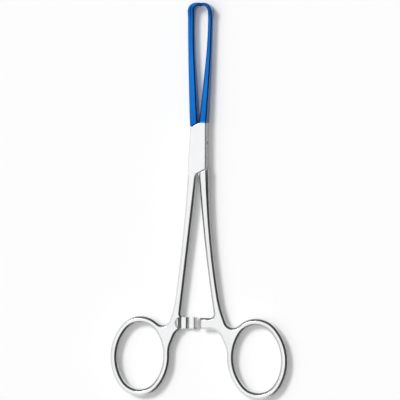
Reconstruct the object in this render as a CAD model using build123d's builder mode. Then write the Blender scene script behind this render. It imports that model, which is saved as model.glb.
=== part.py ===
from build123d import *
from math import atan2, ceil, cos, degrees, radians, sin, tan
import os

# Allis tissue forceps, box lock pattern, lying on its back face.
# +Y runs from the finger rings to the jaws, +Z faces the viewer, the pivot is the origin.
# The box half has the left handle and the right jaw, the tongue half the other two.

# overall, in mm and degrees
pivot_to_tip = 57.2
box_depth = 5.6
close_limit = 1.85

# finger rings, ovals of four arcs
ring_centre_x = 23.7
ring_centre_y = -82.0
ring_length = 31.6
ring_width = 24.1
ring_band = 2.5
ring_depth = 3.5
ring_lean = 3.8
ring_end_share = 0.85

# shank edges: x at the box, distance in from the ring's side at the far end, bow of the arc between
left_outer = (3.95, 1.9, 0.57)
left_inner = (0.15, 4.05, 0.05)
right_outer = (4.05, 2.75, 1.27)
right_inner = (0.25, 4.7, 0.79)
shank_top_y = -7.0
shank_depth_top = 5.2
knee_above = 6.5
knee_round = 40.0
depth_bend = 300.0
handle_bevel = 0.75

# where the shanks run into the rings, heights as shares of the ring's length
foot_rise = 0.06
foot_outer = 1.5
foot_inner = 0.3
valley_round = 3.2
merge_round = 10.0
merge_at = (0.49, 0.10)

# ratchet bars, placed down from the top of the rings
ratchet_drop = 2.3
ratchet_width = 4.4
ratchet_gap = 1.3
ratchet_inset = 1.7
ratchet_pitch = 3.2
ratchet_land = 1.8
ratchet_flat = 0.2
ratchet_tooth = 0.9
ratchet_clear = 0.12
ratchet_corner = 1.6
ratchet_arch = 4.6
pocket_over = 0.25

# box lock
box_left_top = 3.0
box_left_bottom = 4.15
box_right = 3.25
cheek = 1.65
step_top = 8.6
step_bottom = 7.8
step_angle = 28.0
step_gap = 0.3
box_end = 2.5
box_crown = 0.4
box_bevel = 0.3
slot_play = 0.05
slot_start = 3.0
slot_end = 13.0
side_play = 0.12
tongue_inset = 0.1
tongue_corner = 1.0
tongue_tip_x = 0.1
tongue_tip_y = 10.6
tongue_reach = 12.0
pin_radius = 1.5
pin_play = 0.03
pin_recess = 0.1

# jaws, each from the line that the jaws close on
jaw_root_y = 7.0
jaw_root_inner = 0.1
jaw_root_outer = 3.1
jaw_inner = 2.85
jaw_leg = 1.55
inner_bend_y = 42.3
inner_bend = 240.0
outer_bend_y = 40.0
outer_bend = 600.0
jaw_lean = 1.0
jaw_depth_root = 5.4
jaw_depth_slim = 2.8
taper_start = 13.0
taper_start_bend = 60.0
taper_end = 38.0
taper_end_bend = 120.0
jaw_bevel = 0.45

# jaw tips
tip_gap = 1.0
tip_wall = 1.2
tip_inner_round = 2.0
tip_outer_round = 3.4
flare_length = 6.0
flare_start_bend = 8.0
flare_end_bend = 4.0
tip_flat = 1.8
tooth_count = 6
tooth_depth = 1.05
tooth_land = 0.1

# worked out from the sizes above
mid_z = box_depth / 2
slope = tan(radians(step_angle))
ratchet_y = ring_centre_y + ring_length / 2 - ratchet_drop
knee_y = ratchet_y + knee_above
ring_side = ring_centre_x - ring_width / 2
left_knee_x = ring_side - left_outer[1]
right_knee_x = ring_side - right_outer[1]
ring_end_radius = ring_end_share * ring_width / 2
ring_end_rise = ring_length / 2 - ring_end_radius
ring_narrow = ring_width / 2 - ring_end_radius
ring_side_shift = (ring_end_rise**2 - ring_narrow**2) / 2 / ring_narrow
ring_side_radius = ring_side_shift + ring_width / 2
ring_turn = degrees(atan2(ring_end_rise, ring_side_shift))
tooth_pitch = box_depth / tooth_count
box_left_middle = (box_left_top + box_left_bottom) / 2
reach_x = ring_centre_x + ring_width


# rounds the corner of a sketch that lies nearest to x, y
def soften(outline, x, y, radius):
    fillet(outline.vertices().sort_by_distance((x, y, 0))[0], radius)


# one edge of a shank, from the box down to the given height
def shank_edge(side, edge, end_y):
    start = (side * edge[0], shank_top_y)
    end = (side * (ring_side - edge[1]), end_y)
    return SagittaArc(start, end, -side * edge[2])


# a point at the foot of a shank, this many band widths in from the ring's side
def shank_foot(side, bands):
    return (side * (ring_side + bands * ring_band), ring_centre_y + foot_rise * ring_length)


def shank_outline(side):
    with BuildSketch() as sketch:
        with BuildLine():
            outer = shank_edge(side, left_outer if side < 0 else right_outer, knee_y)
            inner = shank_edge(side, left_inner if side < 0 else right_inner, ratchet_y)
            Line(outer @ 0, inner @ 0)
            Polyline(outer @ 1, shank_foot(side, foot_outer), shank_foot(side, foot_inner), inner @ 1)
        make_face()
    return sketch.sketch


# the arc that touches a line and a circle of the ring, given in the ring's own place
def touching_arc(side, line, centre, radius):
    circle = Edge.make_circle(radius, Plane(ring_place(side) * Location(centre)))
    highest = lambda found: found.sort_by(Axis.Y)[-1]
    return ConstrainedArcs(line, circle, radius=valley_round, selector=highest).edge()


# the fill between a shank's outer edge and its ring, up to an arc that touches both
def valley(side):
    knee = (-left_knee_x if side < 0 else right_knee_x, knee_y)
    foot = shank_foot(side, foot_outer)
    joint = (-side * ring_end_radius * cos(radians(ring_turn)), ring_end_radius * sin(radians(ring_turn)), 0)
    joint_y = (ring_place(side) * Location((0, ring_end_rise, 0)) * Location(joint)).position.Y
    with BuildSketch() as sketch:
        with BuildLine():
            with BuildLine(mode=Mode.PRIVATE):
                line = Edge.make_line(knee, foot)
                arc = touching_arc(side, line, (0, ring_end_rise, 0), ring_end_radius)
                touch = max(arc @ 0, arc @ 1, key=lambda point: side * point.X)
                if touch.Y < joint_y:
                    arc = touching_arc(side, line, (side * ring_side_shift, 0, 0), ring_side_radius)
            add(arc)
            Polyline(arc @ 0, foot, arc @ 1)
        make_face()
    return sketch.sketch


# how far the ratchet bar reaches into the shank
def ratchet_root(side):
    edge = left_inner if side < 0 else right_inner
    return ring_side - edge[1] + ratchet_inset


def ratchet_outline(side):
    length = ratchet_root(side) - ratchet_gap / 2
    with BuildSketch() as sketch:
        with Locations((side * (ratchet_gap / 2 + length / 2), ratchet_y)):
            Rectangle(length, ratchet_width)
    return sketch.sketch


def ring_place(side):
    return Location((side * ring_centre_x, ring_centre_y, 0), (0, 0, side * ring_lean))


# the oval of a ring: two round ends and two flatter sides, all tangent
def ring_outline(side, inset):
    end = ring_end_radius - inset
    flank = ring_side_radius - inset
    with BuildSketch() as sketch:
        with BuildLine():
            CenterArc((-ring_side_shift, 0), flank, -ring_turn, 2 * ring_turn)
            CenterArc((0, ring_end_rise), end, ring_turn, 180 - 2 * ring_turn)
            CenterArc((ring_side_shift, 0), flank, 180 - ring_turn, 2 * ring_turn)
            CenterArc((0, -ring_end_rise), end, 180 + ring_turn, 180 - 2 * ring_turn)
        make_face()
    return ring_place(side) * sketch.sketch


def jaw_outline():
    half_gap = tip_gap / 2
    outer = jaw_inner + jaw_leg
    inner_top = pivot_to_tip - tip_wall
    with BuildSketch() as sketch:
        with BuildLine():
            Polyline(
                (jaw_root_inner, jaw_root_y),
                (jaw_inner, inner_bend_y),
                (jaw_inner, inner_top),
                (half_gap, inner_top),
                (half_gap, pivot_to_tip),
                (outer, pivot_to_tip),
                (outer, outer_bend_y),
                (jaw_root_outer, jaw_root_y),
                close=True,
            )
        make_face()
        soften(sketch, jaw_inner, inner_top, min(tip_inner_round, 0.9 * (jaw_inner - half_gap)))
        soften(sketch, outer, pivot_to_tip, min(tip_outer_round, 0.9 * (outer - half_gap)))
        soften(sketch, jaw_inner, inner_bend_y, inner_bend)
        soften(sketch, outer, outer_bend_y, outer_bend)
    return sketch.sketch


def box_outline():
    top_x = tongue_tip_x + box_crown
    low_x = -tongue_tip_x - 2 * box_crown
    with BuildSketch() as sketch:
        with BuildLine():
            Polyline(
                (-box_left_bottom, -step_bottom - box_end),
                (-box_left_top, step_top),
                (top_x, step_top + (box_left_top + top_x) * slope),
                (box_right, step_top + box_end),
                (box_right, -step_bottom),
                (low_x, -step_bottom - (box_right - low_x) * slope),
                close=True,
            )
        make_face()
    return sketch.sketch


# a solid of the given depths along Y, with each corner between rounded by its own radius
def side_profile(rows):
    front = [(y, mid_z + depth / 2) for y, depth, bend in rows]
    back = [(y, mid_z - depth / 2) for y, depth, bend in reversed(rows)]
    with BuildPart() as part:
        with BuildSketch(Plane.YZ.offset(-reach_x)) as sketch:
            with BuildLine():
                Polyline(*front, *back, close=True)
            make_face()
            for y, depth, bend in rows[1:-1]:
                soften(sketch, y, mid_z + depth / 2, bend)
                soften(sketch, y, mid_z - depth / 2, bend)
        extrude(amount=2 * reach_x)
    return part.part


# the front and back edges whose middles lie between two heights
def rims(part, start, end):
    flat = [edge for edge in part.edges() if abs(edge.tangent_at(0.5).Z) < 0.6]
    return [edge for edge in flat if start < edge.center().Y < end]


# one handle: ring, shank and ratchet bar
def handle(side):
    low = ratchet_y - ratchet_width / 2
    high = ratchet_y + ratchet_width / 2
    bar_x = side * (ratchet_root(side) - ratchet_inset)
    knee_x = -left_knee_x if side < 0 else right_knee_x
    merge_x = side * (ring_centre_x - merge_at[0] * ring_width)
    bottom = ring_centre_y - ring_length
    profile = side_profile([
        (bottom, ring_depth, 0),
        (knee_y, ring_depth, depth_bend),
        (shank_top_y + 1, shank_depth_top, 0),
    ])
    with BuildPart() as part:
        with BuildSketch() as outline:
            add(shank_outline(side))
            add(ratchet_outline(side))
            add(ring_outline(side, 0))
            add(valley(side))
            soften(outline, knee_x, knee_y, knee_round)
            soften(outline, bar_x, high, ratchet_corner)
            soften(outline, bar_x, low, ratchet_arch)
            soften(outline, merge_x, ring_centre_y + merge_at[1] * ring_length, merge_round)
            add(ring_outline(side, ring_band), mode=Mode.SUBTRACT)
        extrude(amount=box_depth)
        add(profile, mode=Mode.INTERSECT)
        chamfer(rims(part, bottom, shank_top_y - 1), min(handle_bevel, 0.3 * ring_band, 0.3 * ring_depth))
    return part.part


# one jaw with its curved tip
def jaw(side, teeth):
    tip_depth = teeth * tooth_pitch
    profile = side_profile([
        (jaw_root_y - 1, jaw_depth_root, 0),
        (taper_start, jaw_depth_root, taper_start_bend),
        (taper_end, jaw_depth_slim, taper_end_bend),
        (pivot_to_tip - flare_length, jaw_depth_slim, flare_start_bend),
        (pivot_to_tip - tip_flat, tip_depth, flare_end_bend),
        (pivot_to_tip + 1, tip_depth, 0),
    ])
    with BuildPart() as part:
        with BuildSketch():
            add(jaw_outline())
        extrude(amount=box_depth)
        add(profile, mode=Mode.INTERSECT)
        edges = rims(part, jaw_root_y + 1, pivot_to_tip)
        edges = [edge for edge in edges if edge.center().X > tip_gap / 2 + 0.01]
        chamfer(edges, min(jaw_bevel, 0.3 * jaw_leg))
    solid = part.part
    if side < 0:
        solid = mirror(solid, about=Plane.YZ)
    return Rot(0, 0, -jaw_lean) * solid


# the box of the lock, still solid
def box_block():
    with BuildPart() as part:
        with BuildSketch():
            add(box_outline())
        extrude(amount=box_depth)
        chamfer(part.edges(), box_bevel)
    return part.part


# one side wall of the slot, as far off as the tongue comes when the jaws close
def slot_wall(corner_x):
    turn = radians(close_limit)
    low_x = corner_x * cos(turn) + tongue_corner * sin(turn)
    low_y = tongue_corner * cos(turn) - corner_x * sin(turn)
    high_x = tongue_tip_y * sin(turn) - tongue_tip_x * cos(turn)
    high_y = tongue_tip_y * cos(turn) + tongue_tip_x * sin(turn)
    run = (high_x - low_x) / (high_y - low_y)
    start_x = low_x + (slot_start - low_y) * run + side_play
    end_x = low_x + (slot_end - low_y) * run + side_play
    return [(start_x, slot_start), (end_x, slot_end), (-slot_end, slot_end), (-slot_end, -slot_start)]


# the way the tongue takes through the box, open at the upper left and the lower right
def slot():
    upper = slot_wall(box_right - tongue_inset)
    lower = slot_wall(box_left_middle - tongue_inset)
    with BuildPart() as part:
        with BuildSketch(Plane.XY.offset(cheek)):
            with BuildLine():
                Polyline(*upper, *[(-x, -y) for x, y in lower], close=True)
            make_face()
        extrude(amount=box_depth - 2 * cheek)
    return part.part


# the flat tongue that crosses the box
def tongue():
    right = box_right - tongue_inset
    left_top = box_left_top - tongue_inset
    left_low = box_left_middle - tongue_inset
    with BuildPart() as part:
        with BuildSketch(Plane.XY.offset(cheek + slot_play)):
            with BuildLine():
                Polyline(
                    (right, -tongue_reach),
                    (right, tongue_corner),
                    (-tongue_tip_x, tongue_tip_y),
                    (-tongue_tip_x - step_gap, tongue_reach),
                    (-left_top, tongue_reach),
                    (-left_top, step_top),
                    (-left_low, -tongue_corner),
                    (tongue_tip_x, -tongue_tip_y),
                    (tongue_tip_x + 1, -tongue_reach),
                    close=True,
                )
            make_face()
        extrude(amount=box_depth - 2 * (cheek + slot_play))
    return part.part


# what has to go from the tongue half so that its shoulders clear the cheeks
def between_shoulders():
    gap = step_gap / cos(radians(step_angle))
    far = 2 * box_right
    top = step_top + box_left_top * slope + gap
    low = -step_bottom - box_right * slope - gap
    with BuildPart() as part:
        with BuildSketch():
            with BuildLine():
                Polyline(
                    (-far, top - far * slope),
                    (far, top + far * slope),
                    (far, low + far * slope),
                    (-far, low - far * slope),
                    close=True,
                )
            make_face()
        extrude(amount=box_depth)
    return part.part


# the pocket in the front of the left ratchet bar, with saw teeth left standing on its floor
def ratchet_cut(side):
    top = mid_z - ratchet_clear / 2
    base = top - ratchet_tooth
    end = ratchet_gap / 2
    root = ratchet_root(side)
    radius = ratchet_width / 2 + pocket_over
    with BuildPart() as part:
        with BuildSketch(Plane.XY.offset(base)):
            with Locations((-root + radius, ratchet_y)):
                Circle(radius)
                Rectangle(root, 2 * radius, align=(Align.MIN, Align.CENTER))
        extrude(amount=box_depth - base)
        with BuildSketch(Plane.XZ.offset(-ratchet_y - radius)):
            for tooth in range(ceil((root - end) / ratchet_pitch)):
                right = -end - tooth * ratchet_pitch
                left = right - ratchet_pitch
                with BuildLine():
                    Polyline(
                        (right - ratchet_flat, base),
                        (left + ratchet_land, top),
                        (left, top),
                        (left, base),
                        close=True,
                    )
                make_face()
        extrude(amount=2 * radius, mode=Mode.SUBTRACT)
    return part.part


# the V notches between the teeth of one jaw
def tooth_cut(side, teeth):
    edge = tip_gap / 2
    over = tip_gap / 3
    half = tooth_pitch / 2 - tooth_land / 2
    wide = half * (1 + over / tooth_depth)
    low = mid_z - teeth * tooth_pitch / 2
    with BuildPart() as part:
        with BuildSketch(Plane.XZ.offset(-pivot_to_tip - 1)):
            for notch in range(teeth + 1):
                z = low + notch * tooth_pitch
                with BuildLine():
                    Polyline(
                        (side * (edge - over), z - wide),
                        (side * (edge + tooth_depth), z),
                        (side * (edge - over), z + wide),
                        close=True,
                    )
                make_face()
        extrude(amount=2 * tip_wall + 1)
    return Rot(0, 0, -jaw_lean) * part.part


# the box half: left handle, box and right jaw
with BuildPart() as box_half:
    add(handle(-1))
    add(box_block())
    add(jaw(1, tooth_count))
    add(slot(), mode=Mode.SUBTRACT)
    add(ratchet_cut(-1), mode=Mode.SUBTRACT)
    add(tooth_cut(1, tooth_count), mode=Mode.SUBTRACT)
    Cylinder(pin_radius, box_depth, align=(Align.CENTER, Align.CENTER, Align.MIN), mode=Mode.SUBTRACT)

# the tongue half: right handle, tongue and left jaw
with BuildPart() as tongue_half:
    add(handle(1))
    add(jaw(-1, tooth_count - 1))
    add(between_shoulders(), mode=Mode.SUBTRACT)
    add(tongue())
    with Locations(Location((0, 0, box_depth), (0, 180, 0))):
        add(ratchet_cut(1), mode=Mode.SUBTRACT)
    add(tooth_cut(-1, tooth_count - 1), mode=Mode.SUBTRACT)
    pin_bore = pin_radius + pin_play
    Cylinder(pin_bore, box_depth, align=(Align.CENTER, Align.CENTER, Align.MIN), mode=Mode.SUBTRACT)

# the pin, ground a little below both faces of the box
with BuildPart() as pivot_pin:
    with Locations((0, 0, pin_recess)):
        Cylinder(pin_radius, box_depth - 2 * pin_recess, align=(Align.CENTER, Align.CENTER, Align.MIN))

os.makedirs("parts", exist_ok=True)

box_half.part.label = "box half"
export_step(box_half.part, "parts/box_half.step")

tongue_half.part.label = "tongue half"
export_step(tongue_half.part, "parts/tongue_half.step")

pivot_pin.part.label = "pivot pin"
export_step(pivot_pin.part, "parts/pivot_pin.step")
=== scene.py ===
import math

import bpy
from mathutils import Matrix, Vector

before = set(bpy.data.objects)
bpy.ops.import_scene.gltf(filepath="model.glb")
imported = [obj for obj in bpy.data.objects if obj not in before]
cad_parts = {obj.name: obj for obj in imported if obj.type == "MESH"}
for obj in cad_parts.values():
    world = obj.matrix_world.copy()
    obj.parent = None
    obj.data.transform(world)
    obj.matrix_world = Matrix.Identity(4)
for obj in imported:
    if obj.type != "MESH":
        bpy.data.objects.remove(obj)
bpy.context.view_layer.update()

# Lengths are in metres and colours are linear.

# where the blue coat starts: level across the box half, a slanted step across the tongue half
BLUE_START = 0.0102
STEP_LEFT_X = -0.0030
STEP_LEFT_Y = 0.0086
STEP_SLOPE = math.tan(math.radians(28.0))
# how far its edge wanders, and how fast steel turns to blue across it
BLUE_WANDER = 0.00012
BLUE_TURN = 25000.0

# each finish: its two colours, the most of the second, its range of roughness, how strong its bump is
STEEL = (0.77, 0.775, 0.78, 1.0)
STEEL_DULL = (0.68, 0.685, 0.695, 1.0)
STEEL_PATCHES = 0.6
STEEL_ROUGH = (0.14, 0.20)
STEEL_ROUGH_CLOUDS = (-0.01, 0.03)
STEEL_BUMP = 0.05
BLUE = (0.002, 0.140, 0.50, 1.0)
BLUE_DEEP = (0.001, 0.110, 0.41, 1.0)
BLUE_PATCHES = 0.7
BLUE_METALLIC = 0.85
BLUE_ROUGH = (0.15, 0.21)
BLUE_BUMP = 0.10
PAPER = (0.90, 0.90, 0.90, 1.0)
PAPER_ROUGH = (0.85, 0.95)
PAPER_SHINE = 0.1
WHITE = (1.0, 1.0, 1.0, 1.0)

# patterns: polishing lines stretched along the part, wide clouds, fine specks, paper
GRAIN_SCALE = 4200.0
GRAIN_STRETCH = (1.0, 0.03, 1.0)
CLOUD_SCALE = 90.0
SPECK_SCALE = 2600.0
PAPER_SCALE = 300.0
BUMP_HEIGHT = 0.00001
# the part of a noise's range that is used, for roughness and for patches of colour
ROUGH_SPAN = (0.3, 0.7)
PATCH_SPAN = (0.35, 0.7)

# how far the edges look rounded, and how far round the pin, at the origin, they stay sharp
EDGE_ROUND = 0.00015
EDGE_SAMPLES = 6
PIN_CLEAR = 0.0024

# where the front of the box runs into its own shank
RUN_LEFT_X = -0.0040
RUN_RIGHT_X = -0.0003
RUN_LOW_Y = -0.0107
RUN_HIGH_Y = -0.0098
RUN_LOW_Z = 0.0052

# the floor is far wider than the view, and a little brighter for rays that look at it
FLOOR_SIZE = 6.0
FLOOR_LIFT = 0.085

# a soft key lamp from the upper left
KEY_TOWARDS = Vector((-0.37, 0.40, 0.84)).normalized()
KEY_STRENGTH = 1.60
KEY_ANGLE = math.radians(18.0)

# studio tent, bright overhead a little to the left, which the front faces reflect, and dark low down:
# its strength by how far a direction agrees with the tent's middle
TENT_MIDDLE = Vector((-0.34, 0.05, 0.94)).normalized()
TENT = ((0.10, 0.05), (0.42, 0.27), (0.68, 0.36), (0.92, 1.16))

# the camera looks down on the part from a little to its right, with +Y up in the picture
SIDE = math.radians(13.5)
ABOVE = math.radians(2.0)
ROLL = math.radians(0.15)
AIM = Vector((0.0004, -0.0200, 0.0028))
DISTANCE = 0.9
VIEW_WIDTH = 0.1570
SENSOR_MM = 36.0
CLIP_START = 0.01


class Nodes:
    """Short names for building a node tree."""

    def __init__(self, tree):
        self.tree = tree

    def add(self, kind, **settings):
        node = self.tree.nodes.new(kind)
        for key, value in settings.items():
            setattr(node, key, value)
        return node

    def feed(self, socket, value):
        if isinstance(value, bpy.types.NodeSocket):
            self.tree.links.new(value, socket)
        else:
            socket.default_value = value

    def math(self, operation, a, b=0.0, clamp=False):
        node = self.add("ShaderNodeMath", operation=operation, use_clamp=clamp)
        self.feed(node.inputs[0], a)
        self.feed(node.inputs[1], b)
        return node.outputs[0]

    def noise(self, place, scale, detail=3.0, rough=0.5):
        node = self.add("ShaderNodeTexNoise")
        self.feed(node.inputs["Vector"], place)
        node.inputs["Scale"].default_value = scale
        node.inputs["Detail"].default_value = detail
        node.inputs["Roughness"].default_value = rough
        return node.outputs["Fac"]

    def spread(self, value, span, to, curve="LINEAR"):
        node = self.add("ShaderNodeMapRange", interpolation_type=curve)
        self.feed(node.inputs["Value"], value)
        for key, number in zip(("From Min", "From Max", "To Min", "To Max"), (*span, *to)):
            node.inputs[key].default_value = number
        return node.outputs["Result"]

    def mix(self, kind, factor, a, b):
        node = self.add("ShaderNodeMix", data_type=kind)
        self.feed(node.inputs["Factor"], factor)
        self.feed(node.inputs["A"], a)
        self.feed(node.inputs["B"], b)
        return node.outputs["Result"]

    def bump(self, height, strength, normal):
        node = self.add("ShaderNodeBump")
        node.inputs["Strength"].default_value = strength
        node.inputs["Distance"].default_value = BUMP_HEIGHT
        self.feed(node.inputs["Height"], height)
        self.feed(node.inputs["Normal"], normal)
        return node.outputs["Normal"]


def new_material(name, build):
    """A material whose surface is the shader that build makes."""
    material = bpy.data.materials.new(name)
    material.use_nodes = True
    material.node_tree.nodes.clear()
    n = Nodes(material.node_tree)
    out = n.add("ShaderNodeOutputMaterial")
    n.feed(out.inputs["Surface"], build(n))
    return material


def edge_normal(n, x, y, z, coat):
    """The normal with slightly rounded edges."""
    rounded = n.add("ShaderNodeBevel", samples=EDGE_SAMPLES)
    # the pin is ground flush with its bore, so nothing looks rounded around it
    off_pin = n.math("SQRT", n.math("ADD", n.math("MULTIPLY", x, x), n.math("MULTIPLY", y, y)))
    clear = n.math("GREATER_THAN", off_pin, PIN_CLEAR)
    n.feed(rounded.inputs["Radius"], n.math("MULTIPLY", clear, EDGE_ROUND))
    if coat != "level":
        return rounded.outputs[0]

    # the box runs into its own shank with no line between them
    front = n.add("ShaderNodeVectorTransform", vector_type="NORMAL")
    front.convert_from = "OBJECT"
    front.convert_to = "WORLD"
    front.inputs[0].default_value = (0.0, 0.0, 1.0)
    run = n.math("LESS_THAN", x, RUN_RIGHT_X)
    for value, side, limit in (
        (y, "LESS_THAN", RUN_HIGH_Y),
        (y, "GREATER_THAN", RUN_LOW_Y),
        (x, "GREATER_THAN", RUN_LEFT_X),
        (z, "GREATER_THAN", RUN_LOW_Z),
    ):
        run = n.math("MULTIPLY", run, n.math(side, value, limit))
    return n.mix("VECTOR", run, rounded.outputs[0], front.outputs[0])


def instrument_steel(n, coat):
    """Satin stainless steel, polished along the part. The coat on the jaw is "level", "step" or None."""
    place = n.add("ShaderNodeTexCoord").outputs["Object"]
    apart = n.add("ShaderNodeSeparateXYZ")
    n.feed(apart.inputs[0], place)
    x, y, z = apart.outputs
    normal = edge_normal(n, x, y, z, coat)

    stretch = n.add("ShaderNodeMapping")
    stretch.inputs["Scale"].default_value = GRAIN_STRETCH
    n.feed(stretch.inputs["Vector"], place)
    grain = n.noise(stretch.outputs["Vector"], GRAIN_SCALE, detail=2.0, rough=0.6)
    cloud = n.noise(place, CLOUD_SCALE)

    steel = n.add("ShaderNodeBsdfPrincipled")
    patches = n.spread(cloud, PATCH_SPAN, (0.0, STEEL_PATCHES))
    n.feed(steel.inputs["Base Color"], n.mix("RGBA", patches, STEEL, STEEL_DULL))
    steel.inputs["Metallic"].default_value = 1.0
    lines = n.spread(grain, ROUGH_SPAN, STEEL_ROUGH)
    clouds = n.spread(cloud, ROUGH_SPAN, STEEL_ROUGH_CLOUDS)
    n.feed(steel.inputs["Roughness"], n.math("ADD", lines, clouds))
    n.feed(steel.inputs["Normal"], n.bump(grain, STEEL_BUMP, normal))
    if coat is None:
        return steel.outputs[0]

    speck = n.noise(place, SPECK_SCALE, detail=2.0)
    blue = n.add("ShaderNodeBsdfPrincipled")
    patches = n.spread(cloud, PATCH_SPAN, (0.0, BLUE_PATCHES))
    n.feed(blue.inputs["Base Color"], n.mix("RGBA", patches, BLUE, BLUE_DEEP))
    blue.inputs["Metallic"].default_value = BLUE_METALLIC
    n.feed(blue.inputs["Roughness"], n.spread(speck, ROUGH_SPAN, BLUE_ROUGH))
    n.feed(blue.inputs["Normal"], n.bump(speck, BLUE_BUMP, normal))

    # how far past the coat's edge, which is a little ragged
    if coat == "level":
        past = n.math("SUBTRACT", y, BLUE_START)
    else:
        rise = n.math("MULTIPLY", n.math("SUBTRACT", x, STEP_LEFT_X), STEP_SLOPE)
        past = n.math("SUBTRACT", n.math("SUBTRACT", y, STEP_LEFT_Y), rise)
    ragged = n.math("MULTIPLY", n.math("SUBTRACT", speck, 0.5), BLUE_WANDER)
    choose = n.add("ShaderNodeMixShader")
    n.feed(choose.inputs[0], n.math("MULTIPLY", n.math("ADD", past, ragged), BLUE_TURN, clamp=True))
    n.feed(choose.inputs[1], steel.outputs[0])
    n.feed(choose.inputs[2], blue.outputs[0])
    return choose.outputs[0]


def white_paper(n):
    """White paper, lifted a little for what looks at it, so the shadow stays and the rest is white."""
    place = n.add("ShaderNodeTexCoord").outputs["Object"]
    paper = n.add("ShaderNodeBsdfPrincipled")
    paper.inputs["Base Color"].default_value = PAPER
    n.feed(paper.inputs["Roughness"], n.spread(n.noise(place, PAPER_SCALE), ROUGH_SPAN, PAPER_ROUGH))
    paper.inputs["Specular IOR Level"].default_value = PAPER_SHINE
    rays = n.add("ShaderNodeLightPath").outputs
    seen = rays["Is Camera Ray"]
    for kind in ("Is Glossy Ray", "Is Transmission Ray"):
        seen = n.math("MAXIMUM", seen, rays[kind])
    paper.inputs["Emission Color"].default_value = WHITE
    n.feed(paper.inputs["Emission Strength"], n.math("MULTIPLY", seen, FLOOR_LIFT))
    return paper.outputs[0]


# materials on the part
for node, name, coat in (
    ("box_half", "box_half_steel", "level"),
    ("tongue_half", "tongue_half_steel", "step"),
    ("pivot_pin", "pin_steel", None),
):
    material = new_material(name, lambda n: instrument_steel(n, coat))
    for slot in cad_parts[node].material_slots:
        slot.material = material

# floor
bpy.ops.mesh.primitive_plane_add(size=FLOOR_SIZE, location=(0.0, 0.0, 0.0))
floor = bpy.context.active_object
floor.name = "floor"
floor.data.materials.append(new_material("white_floor", white_paper))

# key lamp
key = bpy.data.objects.new("key", bpy.data.lights.new("key", "SUN"))
bpy.context.scene.collection.objects.link(key)
key.data.energy = KEY_STRENGTH
key.data.angle = KEY_ANGLE
key.location = KEY_TOWARDS
key.rotation_euler = KEY_TOWARDS.to_track_quat("Z", "Y").to_euler()

# studio tent
world = bpy.data.worlds.new("studio")
bpy.context.scene.world = world
world.use_nodes = True
sky = Nodes(world.node_tree)
facing = sky.add("ShaderNodeVectorMath", operation="DOT_PRODUCT")
sky.feed(facing.inputs[0], sky.add("ShaderNodeTexCoord").outputs["Generated"])
sky.feed(facing.inputs[1], TENT_MIDDLE)
strength = TENT[0][1]
for (start, before), (end, after) in zip(TENT, TENT[1:]):
    step = sky.spread(facing.outputs["Value"], (start, end), (0.0, after - before), "SMOOTHSTEP")
    strength = sky.math("ADD", strength, step)
background = world.node_tree.nodes["Background"]
background.inputs["Color"].default_value = WHITE
sky.feed(background.inputs["Strength"], strength)

# camera
towards = Vector((math.sin(SIDE), math.sin(ABOVE), 0.0))
towards.z = math.sqrt(1.0 - towards.length_squared)
right = Vector((0.0, 1.0, 0.0)).cross(towards).normalized()
turn = Matrix((right, towards.cross(right), towards)).transposed().to_4x4() @ Matrix.Rotation(ROLL, 4, "Z")
camera = bpy.data.objects.new("camera", bpy.data.cameras.new("camera"))
bpy.context.scene.collection.objects.link(camera)
camera.matrix_world = Matrix.Translation(AIM + towards * DISTANCE) @ turn
camera.data.type = "PERSP"
camera.data.sensor_fit = "HORIZONTAL"
camera.data.sensor_width = SENSOR_MM
camera.data.lens = SENSOR_MM * DISTANCE / VIEW_WIDTH
camera.data.clip_start = CLIP_START
bpy.context.scene.camera = camera

bpy.context.scene.view_settings.view_transform = "Standard"
